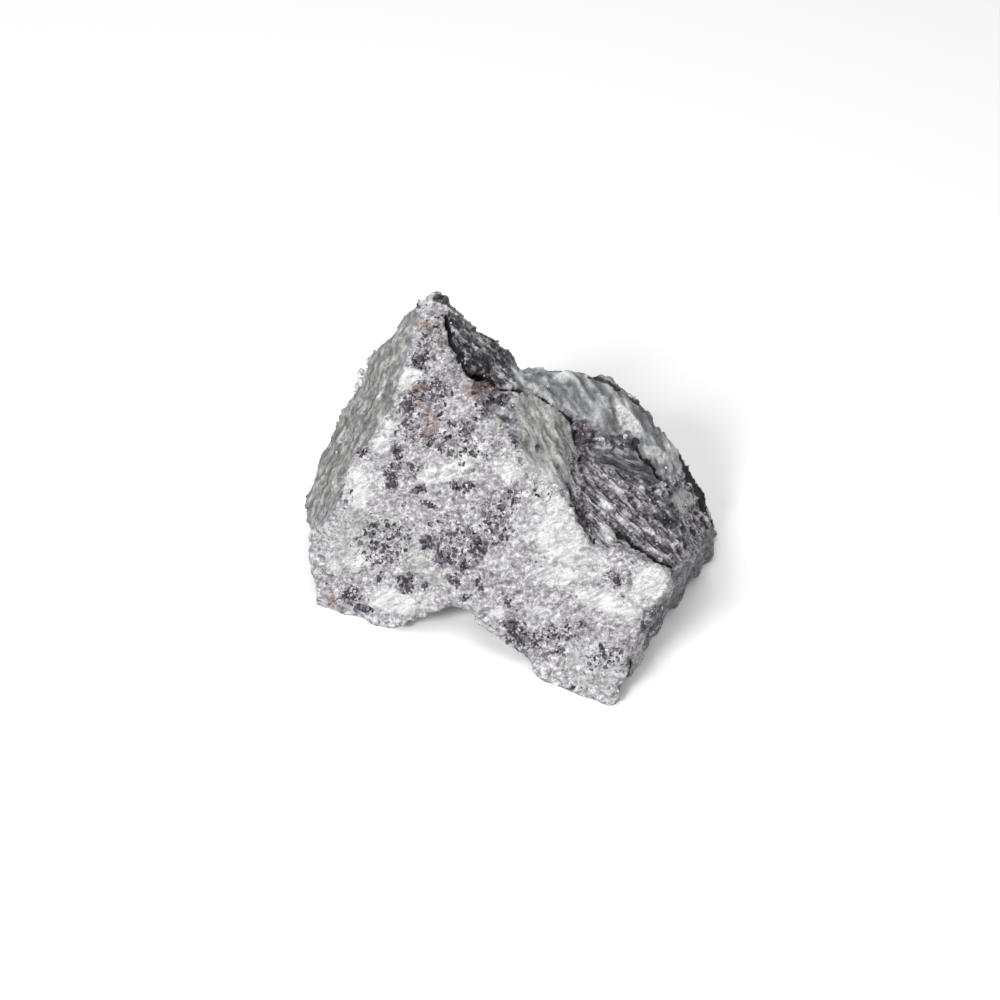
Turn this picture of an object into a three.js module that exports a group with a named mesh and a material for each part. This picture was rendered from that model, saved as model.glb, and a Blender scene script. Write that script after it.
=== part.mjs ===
// A rough, broken lump of mica-bearing rock, about 75 mm across, as it came off the hammer.
//
// The lump is one piece. It split along a few joints, so its form is a handful of angular blocks grown
// together: a leaning peak with a broad front fracture, a slab and a flaky shoulder stepping down to the
// right, and a thicker block behind them. Each block is the convex hull of the corners that it broke to.
// The joined form is hollowed by an arch and a waist, stepped by ledges, roughened by lumps and flaked by
// shallow chips. Its surface is then drawn as even facets, sharp along the edges.
//
// Millimetres, +Z up, the broad front fracture facing -Y. The lump rests on a flat fracture at Z = 0.

import * as THREE from "three";
import { ConvexHull } from "three/addons/math/ConvexHull.js";
import { ImprovedNoise } from "three/addons/math/ImprovedNoise.js";

// Corners that the lump broke to, as [across, back, up].
const CORNERS = {
  // the knob on top of the peak
  apex: [-11.5, 25.5, 49.5],
  apexLeft: [-14.8, 25.5, 47.3],
  apexRight: [-8.6, 25.0, 48.3],
  apexNeck: [-15.6, 24.5, 44.0],
  apexBack: [-11.0, 30.5, 45.0],

  // the left ridge, where the front fracture meets the left flank
  ridgeHigh: [-15.9, 21.0, 39.0],
  ridgeMiddle: [-18.8, 16.5, 31.0],
  ridgeLow: [-24.4, 13.8, 24.2],
  ridgeFoot: [-28.3, 9.5, 16.5],
  leftCheek: [-31.8, 6.8, 10.0],
  leftToe: [-32.3, 1.0, 1.0],

  // the far edge of the left flank
  flankTop: [-18.0, 29.5, 37.6],
  flankHigh: [-22.4, 26.0, 32.6],
  flankMiddle: [-30.0, 24.5, 21.8],
  flankLow: [-35.3, 18.0, 9.8],
  flankFoot: [-26.0, 20.0, 0.0],

  // the bottom edge of the front fracture
  frontLeft: [-32.3, -1.3, 0.0],
  frontMiddle: [-21.0, -4.9, 0.0],
  footLeft: [8.5, -20.0, 0.0],
  footCorner: [19.2, -25.0, 0.0],

  // the right brink of the front fracture, from the peak down to the white corner
  brinkTop: [-8.6, 22.0, 45.0],
  brinkHigh: [-6.8, 17.6, 40.3],
  slabTop: [-4.6, 14.2, 36.9],
  brinkMiddle: [-2.0, 9.9, 32.8],
  brinkLow: [4.8, 3.3, 28.2],
  brinkStep: [10.8, -0.3, 27.0],
  brinkFoot: [16.5, -8.2, 20.2],
  whiteInner: [21.0, -9.6, 21.2],
  whiteCorner: [28.6, -14.4, 19.2],
  whiteUnder: [25.6, -16.6, 13.6],
  footRight: [24.3, -21.3, 7.6],

  // the ridge that runs back from the peak
  crestTop: [-7.3, 27.0, 42.0],
  crestHigh: [-4.5, 27.7, 39.2],
  crestMiddle: [1.4, 29.3, 34.2],
  crestLow: [3.6, 27.3, 32.2],

  // the crack between the slab and the back block
  crackTop: [3.0, 19.5, 33.0],
  crackHigh: [7.0, 20.0, 31.0],
  crackMiddle: [10.5, 18.5, 29.5],
  crackLow: [12.5, 16.5, 27.5],
  crackFoot: [14.0, 11.5, 24.7],

  // the top edge of the back block
  blockLeft: [5.0, 26.5, 31.8],
  blockTop: [11.5, 28.0, 31.0],
  blockRight: [17.0, 28.0, 30.2],
  blockShoulder: [25.3, 25.8, 26.2],
  blockSlope: [32.8, 23.7, 16.4],

  // the flaky shoulder
  flakeTop: [16.5, 13.5, 23.0],
  flakeBack: [24.5, 15.0, 21.0],
  flakeSlope: [30.0, 12.5, 16.0],
  flakeFoot: [36.5, 10.5, 7.0],
  flakeLip: [30.5, -4.0, 12.5],
  flakeInner: [18.5, -5.0, 19.0],
  flakeHeel: [12.0, 2.5, 23.5],

  // the right side, down to the ground
  rightCorner: [41.2, 16.8, 0.0],
  rightTip: [39.7, 17.0, 4.5],
  rightMiddle: [32.3, 2.5, 0.0],
  rightNear: [25.6, -10.5, 0.0],

  // the nook between the foot of the front and the right side
  nookFront: [22.3, -20.6, 0.0],
  nookHigh: [23.4, -19.0, 7.6],
  nookTop: [24.5, -11.5, 14.5],
  nookBack: [27.5, -7.0, 9.0],

  // the hidden back
  backLeft: [-20.0, 35.0, 0.0],
  backLeftHigh: [-17.0, 35.0, 24.0],
  backMiddle: [4.0, 39.0, 0.0],
  backMiddleHigh: [2.0, 36.0, 25.0],
  backRight: [24.0, 36.0, 0.0],
  backRightHigh: [20.0, 33.0, 21.0],

  // the middle of the base, deep in every block
  heart: [0.0, 12.0, 0.0],
};

// The blocks, each the convex hull of these corners.
const BLOCKS = {
  peak: [
    "apex", "apexLeft", "apexRight", "apexNeck", "apexBack", "ridgeHigh", "ridgeMiddle", "ridgeLow",
    "ridgeFoot", "leftCheek", "leftToe", "flankTop", "flankHigh", "flankMiddle", "flankLow", "flankFoot",
    "frontLeft", "frontMiddle", "brinkTop", "brinkHigh", "slabTop", "brinkMiddle", "footLeft", "backLeft",
    "backLeftHigh", "backMiddle",
  ],
  slab: [
    "ridgeLow", "brinkMiddle", "brinkLow", "brinkStep", "brinkFoot", "crackTop", "crackHigh", "crackMiddle",
    "crackLow", "crackFoot", "frontMiddle", "footLeft", "footCorner", "heart", "backMiddle",
  ],
  pocket: ["slabTop", "brinkMiddle", "crackTop", "crackHigh", "frontMiddle", "heart"],
  corner: [
    "brinkFoot", "whiteInner", "whiteCorner", "whiteUnder", "footRight", "footCorner",
    "footLeft", "flakeInner", "heart",
  ],
  nook: ["nookFront", "nookHigh", "nookTop", "nookBack", "rightNear", "brinkFoot", "heart"],
  crest: [
    "apexBack", "brinkTop", "crestTop", "crestHigh", "crestMiddle", "crestLow", "crackTop",
    "backMiddleHigh", "backMiddle", "backLeftHigh", "heart",
  ],
  back: [
    "blockLeft", "blockTop", "blockRight", "blockShoulder", "blockSlope", "crackTop", "crackMiddle",
    "flakeTop", "flakeBack", "backMiddleHigh", "backRightHigh", "backRight", "backMiddle", "rightTip",
    "rightCorner", "heart",
  ],
  shoulder: [
    "flakeTop", "flakeBack", "flakeSlope", "flakeFoot", "flakeLip", "flakeInner", "flakeHeel", "rightTip",
    "rightCorner", "rightMiddle", "rightNear", "heart",
  ],
};

// Hollows, each the convex hull of its corners, cut from the joined blocks.
const HOLLOWS = {
  // the arch under the front fracture
  arch: [
    [-24.0, -14.0, -2.0],
    [10.0, -32.0, -3.0],
    [-7.3, -13.0, 10.5],
    [-7.0, 6.0, -1.0],
    [-19.5, -5.0, -1.0],
    [9.0, -19.5, -1.0],
  ],
  // the waist below the left flank
  waist: [
    [-36.5, 20.0, 10.5],
    [-36.5, -2.0, 3.0],
    [-36.5, 12.0, -6.0],
    [-32.0, 10.5, 5.0],
  ],
};

// Relief of the broken surface: low lumps, the ledges of the flaky shoulder, and the round scars of chips.
const LUMPS = [
  { spacing: 11.0, height: 0.9 },
  { spacing: 5.0, height: 0.5 },
];
const LEDGES = { across: [0.1, 0.93, 0.35], spacing: 4.6, height: 1.0, waver: 0.4, waverSpacing: 9.0 };
const CHIPS = {
  count: 260,
  seed: 7,
  radius: [4.0, 11.0],
  depth: [0.2, 0.8],
  clearance: 0.75, // share of a chip's radius that is free above it
  middle: [2.0, 8.0, 18.0], // the chips are scattered all round this point
  start: 70.0, // and found by coming in towards it from here
  frontmost: -0.6, // least part along Y of the way that they come from, so that few mark the front
};
const CREASE = 0.8; // how far the inner corners between blocks are filled

// The facets that the surface is drawn with.
const FACET = 1.75;
const BASE_SNAP = 0.35; // how close to the base a facet's corner joins it
const HALVINGS = 8; // passes that find where the surface crosses the edge of a cell
const PULLS = 12; // passes that pull a facet's corner on to the planes around it
const LEEWAY = 0.4 * FACET; // how far out of its cell those may take it
const FILL = 0.1 * FACET; // depth of stone where a gap is filled
const TOUCH = 0.1; // how near the surface counts as on it
const STEP = 0.05; // distance over which a slope is measured

const vector = ([x, y, z]) => new THREE.Vector3(x, y, z);
const noise = new ImprovedNoise();
const hullOf = (points) => new ConvexHull().setFromPoints(points.map(vector));
const blocks = Object.fromEntries(
  Object.entries(BLOCKS).map(([name, corners]) => [name, hullOf(corners.map((corner) => CORNERS[corner]))]),
);
const hollows = Object.values(HOLLOWS).map(hullOf);

// Distance from a convex hull, negative inside it.
function hullDistance(hull, p) {
  return Math.max(...hull.faces.map((face) => face.distanceToPoint(p)));
}

// Even noise whose swells lie about this far apart.
function noiseAt(p, spacing) {
  return noise.noise(p.x / spacing, p.y / spacing, p.z / spacing);
}

function lumps(p) {
  return LUMPS.reduce((sum, { spacing, height }) => sum + height * noiseAt(p, spacing), 0);
}

// Ledges of the flaky shoulder, as a saw-tooth across its layers.
function ledges(p) {
  const waver = LEDGES.waver * noiseAt(p, LEDGES.waverSpacing);
  const layer = p.dot(vector(LEDGES.across)) / LEDGES.spacing + waver;
  return LEDGES.height * (layer - Math.floor(layer) - 0.5);
}

// The lesser of two distances, eased where they are close, which fills the inner corner a little.
function join(a, b) {
  const near = Math.max(CREASE - Math.abs(a - b), 0);
  return Math.min(a, b) - (near * near) / (4 * CREASE);
}

// The joined blocks, before chipping: negative in the stone.
function broken(p) {
  const solid = Object.entries(blocks).map(
    ([name, hull]) => hullDistance(hull, p) + (name === "shoulder" ? ledges(p) : 0),
  );
  const hollow = hollows.map((hull) => -hullDistance(hull, p));
  return Math.max(solid.reduce(join), ...hollow) + lumps(p);
}

// Shallow round scars where flakes came off, as the balls that cut them.
function makeChips() {
  const chips = [];
  THREE.MathUtils.seededRandom(CHIPS.seed);
  const between = ([low, high]) => THREE.MathUtils.lerp(low, high, THREE.MathUtils.seededRandom());
  for (let n = 0; n < CHIPS.count; n++) {
    const out = new THREE.Vector3().setFromSphericalCoords(
      1,
      Math.acos(between([CHIPS.frontmost, 1])),
      between([0, 2 * Math.PI]),
    );
    const radius = between(CHIPS.radius);
    const depth = between(CHIPS.depth);
    const surface = vector(CHIPS.middle).addScaledVector(out, CHIPS.start);
    let gap = broken(surface);
    while (gap > TOUCH) {
      surface.addScaledVector(out, -Math.max(TOUCH, 0.5 * gap));
      gap = broken(surface);
    }
    const centre = surface.addScaledVector(slope(broken, surface), radius - depth);
    const clear = broken(centre) > CHIPS.clearance * radius; // a ball in a corner would cut the next block
    if (clear) chips.push({ centre, radius });
  }
  return chips;
}

// Unit vector along which a field rises fastest.
function slope(of, p) {
  const rise = (x, y, z) =>
    of(new THREE.Vector3(p.x + x, p.y + y, p.z + z)) - of(new THREE.Vector3(p.x - x, p.y - y, p.z - z));
  return new THREE.Vector3(rise(STEP, 0, 0), rise(0, STEP, 0), rise(0, 0, STEP)).normalize();
}

const chips = makeChips();

// The finished lump: negative in the stone, zero on its surface.
function lump(p) {
  const scars = chips.map(({ centre, radius }) => radius - centre.distanceTo(p));
  return Math.max(broken(p), ...scars, -p.z);
}

// Makes the sampled stone one sound body. A slit of a single sample is filled, and so is the gap where the
// stone would touch itself along an edge, and every hollow that is sealed off. What is loose is dropped.
function settle(values, steps) {
  const stone = (n) => values[n] < 0;
  const slits = [...values.keys()].filter(
    (n) => !stone(n) && steps.some((step) => stone(n - step) && stone(n + step)),
  );
  slits.forEach((n) => {
    values[n] = -FILL;
  });
  const squares = [[0, 1], [1, 2], [2, 0]].map(([u, v]) => [steps[u], steps[v]]);
  let touching = true;
  while (touching) {
    touching = false;
    for (const [u, v] of squares) {
      for (let n = 0; n + u + v < values.length; n++) {
        const [a, b, c, d] = [n, n + u, n + u + v, n + v].map(stone);
        if (a !== c || b !== d || a === b) continue;
        values[a ? n + u : n] = -FILL;
        touching = true;
      }
    }
  }
  const outside = reached(values, steps, 0);
  const deepest = values.reduce((best, value, n) => (value < values[best] ? n : best), 0);
  const body = reached(values, steps, deepest);
  values.forEach((value, n) => {
    if (value >= 0 && !outside[n]) values[n] = -FILL;
    if (value < 0 && !body[n]) values[n] = FILL;
  });
}

// Marks the samples that are joined to the first one by samples of its own kind, stone or air.
function reached(values, steps, first) {
  const marks = new Uint8Array(values.length);
  const open = [first];
  while (open.length) {
    const n = open.pop();
    if (marks[n]) continue;
    marks[n] = 1;
    steps.flatMap((step) => [n - step, n + step]).forEach((next) => {
      const within = next >= 0 && next < values.length;
      if (within && values[next] < 0 === values[first] < 0) open.push(next);
    });
  }
  return marks;
}

// Point where the surface lies between one in the stone and one in the air, found by halving.
function crossing(of, stone, air) {
  const middle = new THREE.Vector3();
  for (let pass = 0; pass < HALVINGS; pass++) {
    middle.addVectors(stone, air).multiplyScalar(0.5);
    (of(middle) < 0 ? stone : air).copy(middle);
  }
  return middle;
}

// Draws the zero surface of a field: one vertex in each cell that the surface crosses, pulled on to the
// planes that cross the cell, and one quad around each cell edge that it crosses.
function drawSurface(of) {
  const box = new THREE.Box3().setFromPoints(Object.values(CORNERS).map(vector)).expandByScalar(2 * FACET);
  const [nx, ny, nz] = box.getSize(new THREE.Vector3()).divideScalar(FACET).ceil().toArray();
  const corner = (i, j, k) => new THREE.Vector3(i, j, k).multiplyScalar(FACET).add(box.min);
  const facet = new THREE.Vector3(FACET, FACET, FACET);
  const key = (i, j, k) => i + (nx + 1) * (j + (ny + 1) * k);
  const values = new Float64Array((nx + 1) * (ny + 1) * (nz + 1));
  for (let k = 0; k <= nz; k++) {
    for (let j = 0; j <= ny; j++) {
      for (let i = 0; i <= nx; i++) {
        values[key(i, j, k)] = of(corner(i, j, k));
      }
    }
  }
  settle(values, [key(1, 0, 0), key(0, 1, 0), key(0, 0, 1)]);

  const AXES = [[1, 0, 0], [0, 1, 0], [0, 0, 1]];
  const crossings = new Map(); // cell -> its box and the points where the surface crosses its edges
  const quads = [];
  for (let k = 1; k < nz; k++) {
    for (let j = 1; j < ny; j++) {
      for (let i = 1; i < nx; i++) {
        AXES.forEach(([dx, dy, dz], axis) => {
          const a = values[key(i, j, k)];
          const b = values[key(i + dx, j + dy, k + dz)];
          if (a < 0 === b < 0) return;
          const ends = [corner(i, j, k), corner(i + dx, j + dy, k + dz)];
          const hit = a < 0 ? crossing(of, ...ends) : crossing(of, ...ends.reverse());
          const [ux, uy, uz] = AXES[(axis + 1) % 3];
          const [vx, vy, vz] = AXES[(axis + 2) % 3];
          const cells = [[0, 0], [1, 0], [1, 1], [0, 1]].map(([u, v]) => {
            const place = [i - u * ux - v * vx, j - u * uy - v * vy, k - u * uz - v * vz];
            const cell = key(...place);
            const low = corner(...place);
            if (!crossings.has(cell)) {
              const room = new THREE.Box3(low, low.clone().add(facet)).expandByScalar(LEEWAY);
              crossings.set(cell, { room, hits: [] });
            }
            crossings.get(cell).hits.push(hit);
            return cell;
          });
          quads.push(a < 0 ? cells : cells.reverse());
        });
      }
    }
  }

  const order = new Map();
  const positions = [];
  for (const [cell, { room, hits }] of crossings) {
    order.set(cell, order.size);
    const normals = hits.map((hit) => slope(of, hit));
    const vertex = hits.reduce((sum, hit) => sum.add(hit), new THREE.Vector3()).divideScalar(hits.length);
    const filled = hits.some((hit) => Math.abs(of(hit)) > FILL); // no plane of the stone's own to follow
    for (let pass = 0; pass < PULLS && !filled; pass++) {
      const pull = new THREE.Vector3();
      hits.forEach((hit, n) => {
        pull.addScaledVector(normals[n], normals[n].dot(hit.clone().sub(vertex)) / hits.length);
      });
      room.clampPoint(vertex.add(pull), vertex);
    }
    if (vertex.z < BASE_SNAP) vertex.z = 0;
    positions.push(...vertex.toArray());
  }
  const index = quads.flatMap((cells) => {
    const [a, b, c, d] = cells.map((cell) => order.get(cell));
    return [a, b, c, a, c, d];
  });
  const geometry = new THREE.BufferGeometry();
  geometry.setAttribute("position", new THREE.Float32BufferAttribute(positions, 3));
  geometry.setIndex(index);
  return geometry;
}

const geometry = drawSurface(lump);
geometry.computeBoundingBox();
const middle = geometry.boundingBox.getCenter(new THREE.Vector3());
geometry.translate(-middle.x, -middle.y, -geometry.boundingBox.min.z);
geometry.computeVertexNormals();

const rock = new THREE.Mesh(
  geometry,
  new THREE.MeshStandardMaterial({ color: 0xb9b6ba, roughness: 0.8, metalness: 0, flatShading: true }),
);
rock.name = "rock";

const specimen = new THREE.Group();
specimen.add(rock);

export default specimen;
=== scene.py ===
"""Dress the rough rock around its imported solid.

The rock is one broken lump of white albite and grey quartz, full of purple lepidolite mica. Lengths are in
millimetres and turn to metres where a mesh is made. Pixels are those of the 1000 by 1000 photograph.
"""

import logging
import math
from dataclasses import dataclass, field
from enum import Enum, IntEnum
from typing import Any, NamedTuple

import bmesh
import bpy
import numpy as np
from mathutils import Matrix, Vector, noise
from mathutils.bvhtree import BVHTree


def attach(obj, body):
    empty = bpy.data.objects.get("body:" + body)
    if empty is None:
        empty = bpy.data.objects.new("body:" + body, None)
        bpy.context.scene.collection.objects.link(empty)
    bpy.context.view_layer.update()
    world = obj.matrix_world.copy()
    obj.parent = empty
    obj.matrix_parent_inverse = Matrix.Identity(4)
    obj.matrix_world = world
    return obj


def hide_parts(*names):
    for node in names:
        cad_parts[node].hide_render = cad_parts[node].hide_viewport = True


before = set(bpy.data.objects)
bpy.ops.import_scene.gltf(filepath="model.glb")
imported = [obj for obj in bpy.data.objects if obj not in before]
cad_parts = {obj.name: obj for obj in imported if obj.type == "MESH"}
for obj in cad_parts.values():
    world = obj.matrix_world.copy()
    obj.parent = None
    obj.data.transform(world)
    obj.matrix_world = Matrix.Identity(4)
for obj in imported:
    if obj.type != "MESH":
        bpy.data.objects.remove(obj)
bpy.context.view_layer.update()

MM = 0.001
NODE = "rock"
BODY = "root"
SEED_STEP = 31.7
# These scatter a grain's place to a tilt of its own.
HASH_TURNS = np.array([[12.98, 78.23, 37.72], [39.35, 11.14, 83.16], [73.16, 52.24, 9.15]])
HASH_GAIN = 4375.85

Pixel = tuple[float, float]

log = logging.getLogger("rough_rock")


class Seed(IntEnum):
    """Which noise each use takes."""

    WANDER_ACROSS = 1
    WANDER_DOWN = 2
    PATCH = 3
    BREAK = 10
    GRAIN = 11
    FINE = 12
    LUMP = 13
    LEDGE = 14
    RUN = 20


class Patch(NamedTuple):
    """Where noise puts a mineral: none of it below low, and its full weight above high."""

    low: float
    high: float
    weight: float = 1.0

    def share(self, values: np.ndarray) -> np.ndarray:
        """Give the mineral's share for each value of the noise."""
        return self.weight * smoothstep(self.low, self.high, values)


class Spot(NamedTuple):
    """A blotch of one mineral: an ellipse in the photograph's pixels, its long side rising to the right."""

    x: float
    y: float
    half_wide: float
    half_high: float
    rise_deg: float = 0.0
    weight: float = 1.0


class Crack(NamedTuple):
    """A crack along a path of pixels: a groove with its depth into the rock in millimetres, and painted shade
    of near black along it.
    """

    path: tuple[Pixel, ...]
    half_wide: float
    depth: float
    weight: float = 1.0


@dataclass(frozen=True)
class MineralLook:
    """How one mineral of the rock, or one painted shade laid like a mineral, looks where it broke.

    grain is the length along and the width across its grain and relief the height of that grain, all in
    millimetres, and run two pixels that the grain runs between. A veined mineral has thin dark lines in its
    grain. cover is how much of what lies under it a full share hides.
    """

    deep: str
    middle: str
    pale: str
    roughness: float
    grain: tuple[float, float]
    relief: float
    run: tuple[Pixel, Pixel] | None = None
    veined: bool = False
    cover: float = 1.0


class Mineral(Enum):
    """The minerals, and the painted shades laid like them, in the order in which they cover each other."""

    GROUND = MineralLook("#827D85", "#B3B0B5", "#E3E2E3", 0.7, (0.7, 0.55), 0.25)
    FLANK = MineralLook("#5F605F", "#7E7E7D", "#ADADAB", 0.6, (2.0, 0.8), 0.28, ((400, 350), (345, 470)))
    # Partly the dark mineral of the top, partly painted shade on the face beyond the ridge, which turns from
    # the light.
    PEAK = MineralLook("#1B1B1F", "#605F64", "#BFBEC2", 0.42, (2.6, 0.6), 0.6, ((462, 322), (500, 362)))
    CHUTE = MineralLook("#524C55", "#938E95", "#CFCCD0", 0.6, (1.2, 0.8), 0.4)
    SLAB = MineralLook("#6D6D6C", "#9A9A98", "#BFBFBD", 0.42, (4.5, 0.7), 0.3, ((528, 410), (556, 474)))
    BLOCK = MineralLook("#66686B", "#8C8E91", "#B8BABC", 0.46, (4.5, 1.6), 0.6, ((590, 385), (612, 428)))
    # Painted shade: a dark band with a sheet-like grain, under the block's lower edge.
    SHEET = MineralLook("#1D1D22", "#48484E", "#7C7C83", 0.34, (6.0, 0.5), 0.25, ((600, 455), (650, 474)))
    SHOULDER = MineralLook("#2A272E", "#827E86", "#CFCDD2", 0.38, (3.4, 0.45), 0.5, ((590, 480), (650, 540)))
    SIDE = MineralLook("#37373C", "#75757A", "#A3A3A8", 0.5, (9.0, 0.7), 0.4, ((704, 544), (676, 598)), True)
    # Painted shade: the dark purple grey of the recess under the white corner and of the hollow at the
    # block's foot.
    NOOK = MineralLook("#39343C", "#6E6972", "#B2ADB5", 0.55, (1.2, 0.8), 0.35)
    QUARTZ = MineralLook("#8D8F8D", "#B3B5B3", "#D0D2CF", 0.36, (2.4, 0.8), 0.12, ((366, 522), (402, 514)))
    ALBITE = MineralLook("#ABACAB", "#D4D5D4", "#EBEBEB", 0.5, (2.6, 0.5), 0.15, ((420, 484), (482, 452)))
    # Partly a dark mineral of its own, partly painted shade in the crevice beside the top and along the
    # block's lower edge.
    SMOKY = MineralLook("#141417", "#2B2A2F", "#5E5D63", 0.3, (1.4, 0.7), 0.3, ((462, 322), (500, 362)))
    RUST = MineralLook("#4B3630", "#8E6C60", "#C2A598", 0.75, (1.0, 0.7), 0.1, cover=0.6)
    # Painted shade: near black laid along cracks and in pits, where shade falls.
    GAP = MineralLook("#0B0A0C", "#151317", "#29252B", 0.7, (1.0, 0.8), 0.0)

    @property
    def share_name(self) -> str:
        """The name of the attribute that holds the mineral's share."""
        return self.name.lower()


ZONES: tuple[tuple[Mineral, tuple[Pixel, ...]], ...] = (
    (Mineral.FLANK, (
        (424, 288), (419, 312), (409, 354), (393, 409), (362, 449), (347, 472), (342, 498), (324, 524),
        (290, 540), (280, 480), (320, 400), (380, 320),
    )),
    # The top's dark mineral, and painted shade on the face beyond the ridge.
    (Mineral.PEAK, (
        (446, 302), (448, 336), (462, 363), (474, 377), (497, 385), (524, 384), (520, 360), (490, 325),
        (460, 296),
    )),
    (Mineral.CHUTE, (
        (474, 377), (497, 385), (520, 391), (517, 415), (519, 440), (528, 469), (502, 437), (488, 426),
        (470, 396),
    )),
    (Mineral.SLAB, (
        (518, 391), (547, 401), (562, 410), (573, 422), (579, 440), (585, 460), (574, 482), (563, 487),
        (545, 478), (528, 469), (519, 440), (516, 415),
    )),
    (Mineral.BLOCK, (
        (505, 386), (520, 391), (547, 401), (562, 410), (573, 422), (579, 440), (586, 460), (597, 450),
        (637, 455), (660, 477), (680, 478), (705, 470), (660, 390), (590, 355), (520, 355),
    )),
    # Painted shade under the block's lower edge.
    (Mineral.SHEET, ((594, 450), (637, 455), (664, 478), (658, 488), (625, 474), (590, 462))),
    (Mineral.SHOULDER, (
        (586, 460), (625, 473), (656, 487), (664, 477), (690, 478), (718, 520), (706, 534), (690, 560),
        (672, 568), (655, 561), (636, 547), (614, 546), (598, 552), (574, 512), (563, 487), (574, 482),
    )),
    (Mineral.SIDE, (
        (672, 568), (690, 560), (706, 534), (716, 522), (735, 540), (730, 600), (650, 670), (640, 655),
        (644, 640), (662, 602), (672, 594),
    )),
    # Painted shade in the recess under the white corner.
    (Mineral.NOOK, ((640, 608), (647, 604), (664, 601), (668, 610), (656, 640), (643, 645))),
    # Painted shade in the hollow along the block's lower edge.
    (Mineral.NOOK, (
        (564, 408), (574, 416), (590, 424), (602, 440), (622, 432), (634, 440), (640, 456), (598, 452),
        (590, 468), (582, 472), (578, 446), (572, 426),
    )),
)

SPOTS: dict[Mineral, tuple[Spot, ...]] = {
    Mineral.ALBITE: (
        Spot(357, 487, 14, 24, 10), Spot(450, 468, 38, 11, 26), Spot(411, 377, 11, 8), Spot(403, 387, 6, 6),
        Spot(428, 306, 8, 8, 0, 0.6), Spot(497, 613, 9, 7), Spot(475, 529, 13, 6, 10),
        Spot(560, 538, 26, 30, 20), Spot(556, 576, 28, 10, -6), Spot(604, 602, 36, 10, -24),
        Spot(652, 582, 20, 20, 20), Spot(628, 612, 11, 12), Spot(393, 602, 29, 13, -14),
        Spot(357, 558, 17, 12, 0, 0.8), Spot(508, 470, 20, 14, -40, 0.8), Spot(504, 562, 10, 13, 0, 0.6),
        Spot(392, 428, 10, 10, 0, 0.8), Spot(383, 446, 12, 9, 0, 0.8), Spot(629, 420, 20, 9, -42, 0.95),
        Spot(657, 454, 17, 7, -38, 0.95), Spot(604, 402, 12, 5, -60, 0.6), Spot(608, 536, 12, 8, -20, 0.7),
        Spot(540, 610, 12, 8, 0, 0.6), Spot(550, 500, 26, 12, -30, 0.8), Spot(580, 560, 50, 36, -20, 0.52),
        Spot(450, 462, 66, 26, 20, 0.46), Spot(368, 478, 26, 46, 10, 0.44), Spot(400, 602, 60, 20, 0, 0.46),
        Spot(625, 602, 44, 26, -20, 0.52), Spot(540, 520, 40, 50, -20, 0.5), Spot(600, 660, 40, 24, 0, 0.5),
        Spot(395, 530, 60, 30, 0, 0.3),
    ),
    Mineral.QUARTZ: (
        Spot(384, 519, 21, 7, 12), Spot(340, 540, 12, 18), Spot(336, 564, 12, 9), Spot(420, 565, 17, 11),
        Spot(434, 578, 12, 8), Spot(441, 343, 9, 8), Spot(500, 411, 12, 5, 10), Spot(582, 676, 9, 6),
        Spot(572, 657, 9, 8), Spot(606, 681, 9, 6), Spot(683, 500, 10, 13), Spot(470, 610, 13, 7),
        Spot(500, 428, 12, 8, -40, 0.9), Spot(410, 545, 34, 26, 0, 0.5), Spot(360, 530, 34, 24, 0, 0.6),
    ),
    Mineral.RUST: (
        Spot(427, 328, 13, 12, 0, 0.62), Spot(419, 388, 9, 10, 0, 0.85), Spot(422, 403, 12, 9, -30, 0.75),
        Spot(431, 424, 14, 17, 0, 0.7), Spot(427, 432, 9, 7, 0, 0.9), Spot(482, 383, 20, 11, -30, 0.85),
        Spot(473, 392, 15, 10, -30, 0.75), Spot(331, 598, 7, 15, 0, 0.75), Spot(440, 350, 20, 40, 0, 0.4),
    ),
    # The dark mineral at the top, and painted shade in the crevice and under the block.
    Mineral.SMOKY: (
        Spot(441, 297, 11, 6, -12), Spot(497, 353, 22, 12, -45, 0.62), Spot(482, 362, 14, 10, -45, 0.6),
        Spot(441, 344, 9, 7, 0, 0.55), Spot(686, 541, 11, 6, -20, 0.8), Spot(650, 466, 16, 5, -42, 0.8),
        Spot(630, 446, 12, 6, -30, 0.7), Spot(664, 520, 20, 8, -50, 0.7), Spot(674, 514, 14, 18, 0, 0.62),
    ),
    # Painted shade in a small pit.
    Mineral.GAP: (Spot(636, 439, 5.5, 5), Spot(634, 447, 4.5, 4.5)),
}

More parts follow.
